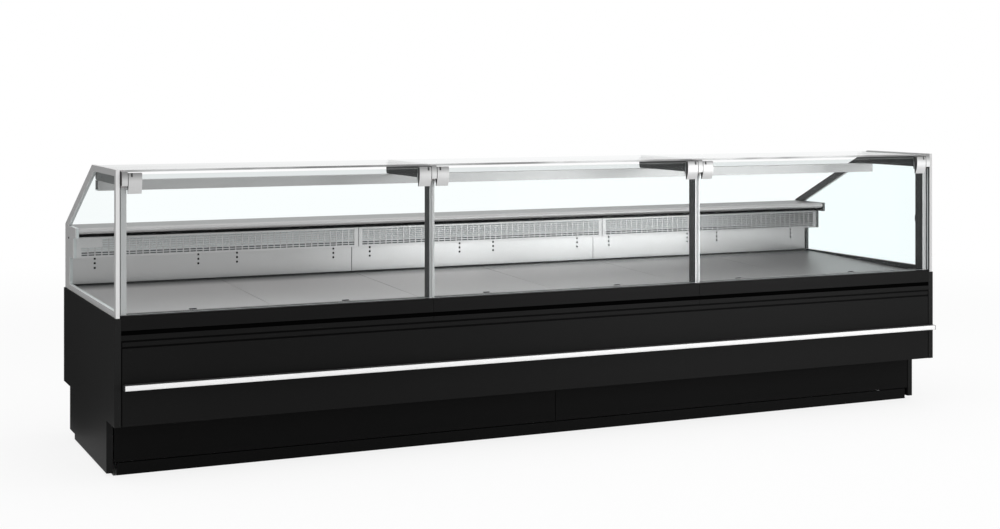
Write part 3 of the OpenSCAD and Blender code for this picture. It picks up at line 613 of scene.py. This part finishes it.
# Return-air grille behind the sill.
# A strip of stainless steel with a close row of narrow slots; its front edge
# stands up behind the sill as a fine comb.
def slotted(columns, rows, is_open):
    """A flat sheet with its openings left out: columns and rows are the widths of its cells."""
    part = bmesh.new()
    across, up = len(columns), len(rows)
    bmesh.ops.create_grid(part, x_segments=across, y_segments=up, size=1)
    xs = [sum(columns[:i]) for i in range(across + 1)]
    ys = [sum(rows[:i]) for i in range(up + 1)]
    for v in part.verts:
        v.co = Vector((xs[round((v.co.x + 1) * across / 2)],
                       ys[round((v.co.y + 1) * up / 2)], 0))
    gone = []
    for f in part.faces:
        middle = f.calc_center_median()
        column = max(i for i in range(across) if xs[i] < middle.x)
        row = max(i for i in range(up) if ys[i] < middle.y)
        if is_open(column, row):
            gone.append(f)
    bmesh.ops.delete(part, geom=gone, context="FACES")
    return part


def plated(sheet, corner, thick, upright=False):
    """Stands a flat sheet up if asked, puts its corner in place and gives it its thickness."""
    if upright:
        bmesh.ops.rotate(sheet, cent=(0, 0, 0), matrix=Matrix.Rotation(radians(90), 3, "X"),
                         verts=sheet.verts)
    bmesh.ops.translate(sheet, vec=corner, verts=sheet.verts)
    bmesh.ops.solidify(sheet, geom=sheet.faces, thickness=thick)
    bmesh.ops.recalc_face_normals(sheet, faces=sheet.faces)
    return sheet


def in_slot(column, row):
    return column % 2 == 1 and row == 1


grille_low, grille_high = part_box("return_grille")
grille_steel = brushed("grille_steel", 0.42, 0.3)
grille_z = 0.6100
slot_count, slot_wide, web_wide = 534, 0.0035, 0.0035
margin = (grille_high.x - grille_low.x - slot_count * (slot_wide + web_wide)) / 2
columns = [margin] + [slot_wide, web_wide] * slot_count + [margin]
flat = plated(slotted(columns, [0.0055, 0.027, 0.0055], in_slot),
              (grille_low.x, grille_low.y + 0.001, grille_z), 0.0015)
comb = plated(slotted(columns, [0.0145, 0.0028], in_slot),
              (grille_low.x, grille_low.y + 0.0012, grille_z), 0.0011, upright=True)
join(flat, comb)
stand("return_grille_sheet", flat, grille_steel, slot="display_steel",
      replaces=["return_grille"])


# Back panels.
# Three stainless steel panels under the ducts, with groups of three holes that
# take shelf brackets; dark rails stand behind the holes, seals in the joints.
# The back panels are painted darker towards the right end, as painted shade.
back_steel = brushed("back_steel", 0.48, 0.29, fade=(1.2, 0.45), metallic=0.8)
for i in (1, 2, 3):
    node = f"back_panel_{i}"
    stand(f"back_sheet_{i}", copied(node, 0.0004, 1), back_steel, slot="display_steel",
          replaces=[node])

module = 1.25
# Half width, front, back, foot and top of a seal between panels, and of one between ducts.
seal_sizes = ((0.0013, 0.4597, 0.4615, 0.6385, 0.7565), (0.0009, 0.3636, 0.3650, 0.7580, 0.8440))
seals = bmesh.new()
for x in (inside_left + module, inside_left + 2 * module):
    for half, seal_front, seal_back, foot, top in seal_sizes:
        block(seals, (x - half, seal_front, foot), (x + half, seal_back, top), 0.0002, 1)
stand("joint_seals", seals, moulded("seal_black", 0.02, 0.6), slot="fan_plastic")

bracket_shares = (0.0704, 0.4304, 0.5696, 0.9296)
rail_half = 0.012
rails = bmesh.new()
for i in (1, 2, 3):
    low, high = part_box(f"back_panel_{i}")
    for share in bracket_shares:
        x = inside_left + (i - 1 + share) * module
        block(rails, (x - rail_half, high.y + 0.0004, low.z + 0.02),
              (x + rail_half, high.y + 0.018, high.z - 0.002), 0.0008)
stand("bracket_rails", rails, coated("rail_coat", 0.006, 0.6, 0.05), slot="display_steel")


# Outlet ducts.
# Folded steel ducts that blow the cold air forward, their faces and undersides
# punched with fine slots; behind these lie a plastic straightener and a vane.
# The ducts are painted darker towards the right end, as painted shade.
duct_steel = brushed("duct_steel", 0.51, 0.36, fade=(0.8, 0.5), metallic=0.42)
s = finish("straightener", grey(0.2), 0.7, 0.0, 0.1)
cells = s.node("ShaderNodeTexVoronoi", {"feature": "DISTANCE_TO_EDGE"},
               {"Vector": s.stretched((1, 0.05, 1)), "Scale": 210, "Randomness": 0.2},
               out="Distance")
# The cell hollows are painted a little darker than their walls, and the right end far darker, as
# painted shade.
cells = s.smooth(cells, 0.0, 0.16)
painted_end_shade = s.smooth(s.axis("X"), 0.9, 1.8)
base = s.mix(painted_end_shade, s.mix(cells, grey(0.84), grey(0.66)), grey(0.05))
straightener = feed(s, base=base, normal=s.bump(1 - cells, 0.8, 0.002))
vane_black = moulded("vane_black", 0.10, 0.6)

cell_wide, bar_wide, cell_high, bar_high = 0.0250, 0.0040, 0.0056, 0.0037
face_high, under_deep, sheet = 0.088, 0.098, 0.0012
least_sides = 0.012      # plain sheet at the two ends together
closed_cells = 3         # at the first duct's left end, in its upper rows
for i in (1, 2, 3):
    node = f"outlet_duct_{i}"
    low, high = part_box(node)
    length = high.x - low.x
    count = int((length - least_sides) / (cell_wide + bar_wide))
    side = (length - count * (cell_wide + bar_wide) + bar_wide) / 2
    columns = [side] + [cell_wide, bar_wide] * (count - 1) + [cell_wide, side]
    rows = [0.0088] + [cell_high, bar_high] * 7 + [cell_high]
    rows.append(face_high - sum(rows))
    closed = 2 * closed_cells if i == 1 else 0
    face = plated(slotted(columns, rows, lambda column, row: column % 2 == 1 and row % 2 == 1
                          and not (column < closed and row > 7)),
                  (low.x, low.y + 0.0013, low.z), sheet, upright=True)
    rows = [0.008, cell_high, bar_high, cell_high]
    rows.append(under_deep - sum(rows))
    under = plated(slotted(columns, rows, lambda column, row: column % 2 == 1
                           and row in (1, 3)),
                   (low.x, low.y, low.z + sheet), sheet)
    join(face, under)
    block(face, (low.x, low.y + 0.0002, high.z - 0.002), high, 0.0005, 1)
    for x in (low.x, high.x - 0.0015):
        block(face, (x, low.y + 0.0014, low.z + 0.001),
              (x + 0.0015, low.y + 0.0975, high.z - 0.002))
    stand(f"outlet_grille_{i}", face, duct_steel, slot="display_steel", replaces=[node])

    left, right = low.x + 0.003, high.x - 0.003
    comb = bmesh.new()
    block(comb, (left, low.y + 0.004, low.z + 0.026), (right, low.y + 0.024, high.z - 0.003),
          0.0006)
    stand(f"air_straightener_{i}", comb, straightener, slot="fan_plastic")
    vane = bmesh.new()
    block(vane, (left, low.y + 0.005, low.z + 0.004), (right, low.y + 0.024, low.z + 0.0255),
          0.0006)
    stand(f"air_vane_{i}", vane, vane_black, slot="fan_plastic")


# Worktop.
# A stainless steel shelf with a rounded front edge, brushed along its length,
# on a dark steel support.
# The shelf's top and its rounded front edge are a darker and a lighter copy of one steel, as
# painted shade and painted highlight, and both are painted darker towards the right end.
worktop_steel = brushed("worktop_steel", 0.27, 0.42, fade=(-0.4, 0.45), metallic=0.35)
nose_highlight_steel = brushed("nose_highlight_steel", 0.50, 0.42, fade=(0.4, 0.2), metallic=0.3)
nose_back = 0.3215
shelf = copied("worktop", 0)
for f in shelf.faces:
    if f.calc_center_median().y < nose_back:
        f.material_index = 1
stand("worktop_shelf", shelf, worktop_steel, nose_highlight_steel, slot="worktop_steel",
      replaces=["worktop"])


# Control plate and light switch.
# A moulded black plate let into the service side, with a display window, four
# soft keys, and a rocker for the lamp.
low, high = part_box("control_plate")
stand("control_face", copied("control_plate", 0.0012, 3), moulded("control_black", 0.014, 0.5),
      slot="control", replaces=["control_plate"])

sunk = high.y - 0.001    # how deep the window and the keys sit in the plate
window_left, window_right, window_edge = 0.024, 0.076, 0.018
s = finish("display_window", grey(0.006), 0.08)
window_glass = feed(s, rough=0.05 + s.noise(s.place(), 70, 4) * 0.12)
window = bmesh.new()
block(window, (low.x + window_left, sunk, low.z + window_edge),
      (low.x + window_right, high.y + 0.0012, high.z - window_edge), 0.0008, 3)
stand("display_window", window, window_glass, slot="control")

keys_left, key_step, key_long, key_foot, key_top = 0.088, 0.0145, 0.010, 0.030, 0.040
keys = bmesh.new()
for i in range(4):
    x = low.x + keys_left + i * key_step
    block(keys, (x, sunk, low.z + key_foot), (x + key_long, high.y + 0.0014, low.z + key_top),
          0.0010, 3)
stand("control_keys", keys, moulded("key_grey", 0.20, 0.5), slot="control")
paint(moulded("rocker_plastic", 0.62, 0.3), "lamp_switch")


# End frames, posts and lamp beam.
# Aluminium sections, satin anodised. The end frames are cut from thick plate;
# each post is one upright with an arm that reaches back over the deck.
clamp_foot, clamp_top = 1.122, 1.156
rim_start, rim_full = 1.1575, 1.1590


def anodised(name, tone, along, rough, metallic, warm=0.0, top_shade=0.0, rim=0.0):
    """Satin aluminium; dulled is painted shade that darkens it towards a clamp's top, and rim is
    a painted highlight that lightens a frame's upper edge."""
    s = finish(name, grey(tone), rough, metallic)
    line = s.noise(s.stretched(along), 3.0, 3, 0.6)
    cloud = s.noise(s.place(), 6, 3)
    base = s.mix(line * 0.5 + cloud * 0.4, grey(tone * 0.95, warm), grey(tone * 1.05, warm))
    # Painted shade, darker towards the clamp's top.
    if top_shade:
        base = s.mix(s.smooth(s.axis("Z"), clamp_foot, clamp_top) * top_shade, base, grey(0.02))
    # Painted highlight along the upper edge.
    if rim:
        base = s.mix(s.smooth(s.axis("Z"), rim_start, rim_full), base, grey(rim))
    return feed(s, base=base, rough=rough + (line - 0.5) * 0.06 + (cloud - 0.5) * 0.05)


upright_lines, cut_lines = (300, 300, 2.5), (2.0, 420, 420)
# Copies of one aluminium in different tones, as painted light and shade: the near-black side
# copy is painted shade on side faces and in slots, and the plate and arm copies are lighter ones
# for faces in the light.
plate_metal = anodised("plate_metal", 0.52, upright_lines, 0.46, 0.2)
side_shade_metal = anodised("side_shade_metal", 0.055, (420, 420, 2.0), 0.45, 0.3, rim=0.55)
arm_metal = anodised("arm_metal", 0.24, cut_lines, 0.45, 0.3, steel_warmth)
clamp_metal = anodised("clamp_metal", 0.60, (60, 60, 60), 0.34, 0.35, top_shade=0.60)
beam_metal = anodised("beam_metal", 0.375, cut_lines, 0.42, 0.6, steel_warmth)

square_on = 0.7          # the least share of a face's normal that counts as facing one way
# The aluminium goes on in lit and shaded copies, as painted light and shade: the left frame
# lighter than the right, the faces towards the middle near black, the outer faces mid grey, and
# the rear step mid grey on the left and near black on the right.
for side, inward, tone in (("left", 1, 0.74), ("right", -1, 0.45)):
    node = f"end_frame_{side}"
    frame_metal = anodised(f"frame_metal_{side}", tone, upright_lines, 0.46, 0.2)
    bm = copied(node)
    for f in bm.faces:
        rear_step = f.normal.y < -square_on and f.calc_center_median().y > 0
        if f.normal.x * inward > square_on:
            f.material_index = 1
        elif f.normal.x * inward < -square_on:
            f.material_index = 2
        elif rear_step:
            f.material_index = 2 if side == "left" else 1
    stand(node + "_plate", bm, frame_metal, side_shade_metal, plate_metal, slot="anodised",
          replaces=[node])

arm_start = -0.44        # the arm lies behind this depth
knuckle_back = -0.5115   # and the knuckle before this one
# Each post has its own tone, as painted highlight and shade. Their side faces take the
# near-black copy as painted shade, but post 1's outer arm face takes the lighter arm copy as
# painted light.
for i, tone in ((1, 0.44), (2, 0.40), (3, 0.54), (4, 0.31)):
    node = f"post_{i}"
    post_metal = anodised(f"post_metal_{i}", tone, (90, 90, 1.2), 0.38, 0.6, steel_warmth)
    bm = copied(node, 0.0005)
    for f in bm.faces:
        middle = f.calc_center_median()
        if abs(f.normal.x) > square_on:
            outer_arm = i == 1 and f.normal.x < 0 and middle.y > arm_start
            f.material_index = 3 if outer_arm else 1
        elif middle.y < knuckle_back:
            f.material_index = 2
    stand(f"post_upright_{i}", bm, post_metal, side_shade_metal, clamp_metal, arm_metal,
          slot="anodised", replaces=[node])


def head(bm, x, outward, y, z):
    """A round head on a side face, facing left or right."""
    part = bmesh.new()
    bmesh.ops.create_cone(part, cap_ends=True, segments=20, radius1=0.0050, radius2=0.0036,
                          depth=0.0026)
    bmesh.ops.rotate(part, cent=(0, 0, 0), matrix=Matrix.Rotation(radians(90 * outward), 3, "Y"),
                     verts=part.verts)
    bmesh.ops.translate(part, vec=(x + 0.0010 * outward, y, z), verts=part.verts)
    join(bm, part)


arm_1_side, arm_4_side, frame_side = -1.874, 1.852, 1.895
screws = bmesh.new()
head(screws, arm_1_side, -1, -0.422, 1.122)
head(screws, arm_1_side, -1, -0.143, 1.126)
stand("arm_screws", screws, coated("screw_zinc", 0.30, 0.4, 0.4), slot="anodised")

plugs = bmesh.new()
head(plugs, arm_4_side, -1, -0.107, 1.124)
head(plugs, -frame_side, -1, 0.462, 0.837)
head(plugs, frame_side, 1, 0.462, 0.837)
stop_half, stop_front, stop_back, stop_foot, stop_top = 0.008, -0.4582, -0.4500, 0.850, 0.878
for x in (-1.863, -0.625, 0.625, 1.863):
    block(plugs, (x - stop_half, stop_front, stop_foot), (x + stop_half, stop_back, stop_top),
          0.0015)
stand("post_stops", plugs, moulded("stop_rubber", 0.012, 0.6), slot="fan_plastic")
stand("lamp_housing", copied("lamp_beam", 0.0006), beam_metal, slot="anodised",
      replaces=["lamp_beam"])

s = finish("opal_cover", grey(0.78), 0.45, 0.0, 0.4)
ribs = s.node("ShaderNodeTexWave", {"wave_type": "BANDS", "bands_direction": "Y"},
              {"Vector": s.place(), "Scale": 90})
opal = feed(s, base=s.mix(ribs, grey(0.74), grey(0.82)), normal=s.bump(ribs, 0.25, 0.0003))
stand("lamp_cover", copied("lamp_diffuser", 0.0006), opal, slot="diffuser",
      replaces=["lamp_diffuser"])


# Glass.
# Clear toughened glass with ground edges: three front panes that tilt, three
# top panes that lie on the arms, and a pane in each end frame.
# Where the front panes are painted darker along the clamps, as painted shade.
band_start, band_full = 1.1305, 1.1325


def clear(name, tint, slanted=0.16, shine=0.96, band=0.0):
    """Clear glass; slanted is its mirroring edge on, band a darker see-through strip along the
    clamps, as painted shade.
    """
    material = bpy.data.materials.new(name)
    s = Shader(material)
    slant = s.node("ShaderNodeLayerWeight", sockets={"Blend": 0.5}, out="Facing")
    mirroring = 0.002 + slant ** 5 * slanted
    through = s.node("ShaderNodeBsdfTransparent", sockets={"Color": tint})
    if band:
        darker = tuple(part * (1 - band) for part in tint[:3]) + (1,)
        shaded = s.node("ShaderNodeBsdfTransparent", sockets={"Color": darker})
        along_clamps = s.smooth(s.axis("Z"), band_start, band_full)
        through = s.node("ShaderNodeMixShader", sockets={0: along_clamps, 1: through, 2: shaded})
    smear = s.noise(s.place(), 5, 4)
    mirror = s.node("ShaderNodeBsdfPrincipled", sockets={
        "Base Color": grey(shine), "Metallic": 1.0, "Roughness": 0.02 + smear * 0.02})
    both = s.node("ShaderNodeMixShader", sockets={0: mirroring, 1: through, 2: mirror})
    s.node("ShaderNodeOutputMaterial", sockets={"Surface": both})
    return material


pane_glass = clear("pane_glass", (0.978, 1.0, 1.0, 1), band=0.10)
end_glass = clear("end_glass", (0.978, 1.0, 1.0, 1), 0.04)
top_glass = clear("top_glass", (0.950, 0.962, 0.961, 1), 0.85, 0.80)

edge_tone = 0.84
s = finish("pane_edge", (edge_tone * 0.95, edge_tone, edge_tone * 0.985, 1), 0.3)
grit = s.noise(s.place(), 420, 3)
base = s.mix(grit, (edge_tone * 0.88, edge_tone * 0.93, edge_tone * 0.92, 1), grey(edge_tone))
pane_edge = feed(s, base=base, rough=0.2 + grit * 0.2)

# The top panes' front edge is painted in waves of dark and light grey, as painted reflection.
s = finish("dark_arris", grey(0.2), 0.3, 0.0, 0.3)
reflection_waves = s.smooth(s.noise(s.place(), 2.6, 2), 0.38, 0.62)
arris = feed(s, base=s.mix(reflection_waves, grey(0.22), grey(0.66)))


def pane(node, name, across, glass, body="counter"):
    """A copy of a pane that is thin along one axis. Its edges are ground, apart from rear
    ones and an end pane's, and a top pane's front edge has a dark arris with a painted
    reflection."""
    bm = copied(node)
    for f in bm.faces:
        broad = abs(f.normal[across]) > 0.9 or across == 0 or f.normal.y > 0.7
        f.material_index = 0 if broad else 1
        if glass is top_glass and f.normal.y < -0.15:
            f.material_index = 2
    stand(name, bm, glass, pane_edge, arris, body=body, slot="clear_glass", replaces=[node])


for i in (1, 2, 3):
    pane(f"front_glass_{i}", f"front_pane_{i}", 1, pane_glass, f"front_glass_unit_{i}")
    pane(f"top_glass_{i}", f"top_pane_{i}", 2, top_glass)
pane("end_glass_left", "end_pane_left", 0, end_glass)
pane("end_glass_right", "end_pane_right", 0, end_glass)


# Clamps.
# Cast metal clamps with a bulging satin face, one at each top corner of a front
# pane; they turn on the pins of the knuckles beside them.
slot_narrow, slot_broad, slot_reach = 0.005, 0.0075, 0.0155
for i in (1, 2, 3):
    bm = copied(f"clamps_{i}", 0.0006, 2, 35)
    low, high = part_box(f"clamps_{i}")
    for f in bm.faces:
        xs = [v.co.x for v in f.verts]
        near_top = f.calc_center_median().z > high.z - slot_reach
        slot_face = slot_narrow < max(xs) - min(xs) < slot_broad and near_top
        # Side faces and the slots at the top take the near-black copy, as painted shade.
        if abs(f.normal.x) > square_on or slot_face:
            f.material_index = 1
    stand(f"glass_clamps_{i}", bm, clamp_metal, side_shade_metal,
          body=f"front_glass_unit_{i}", slot="clamp_metal", replaces=[f"clamps_{i}"])
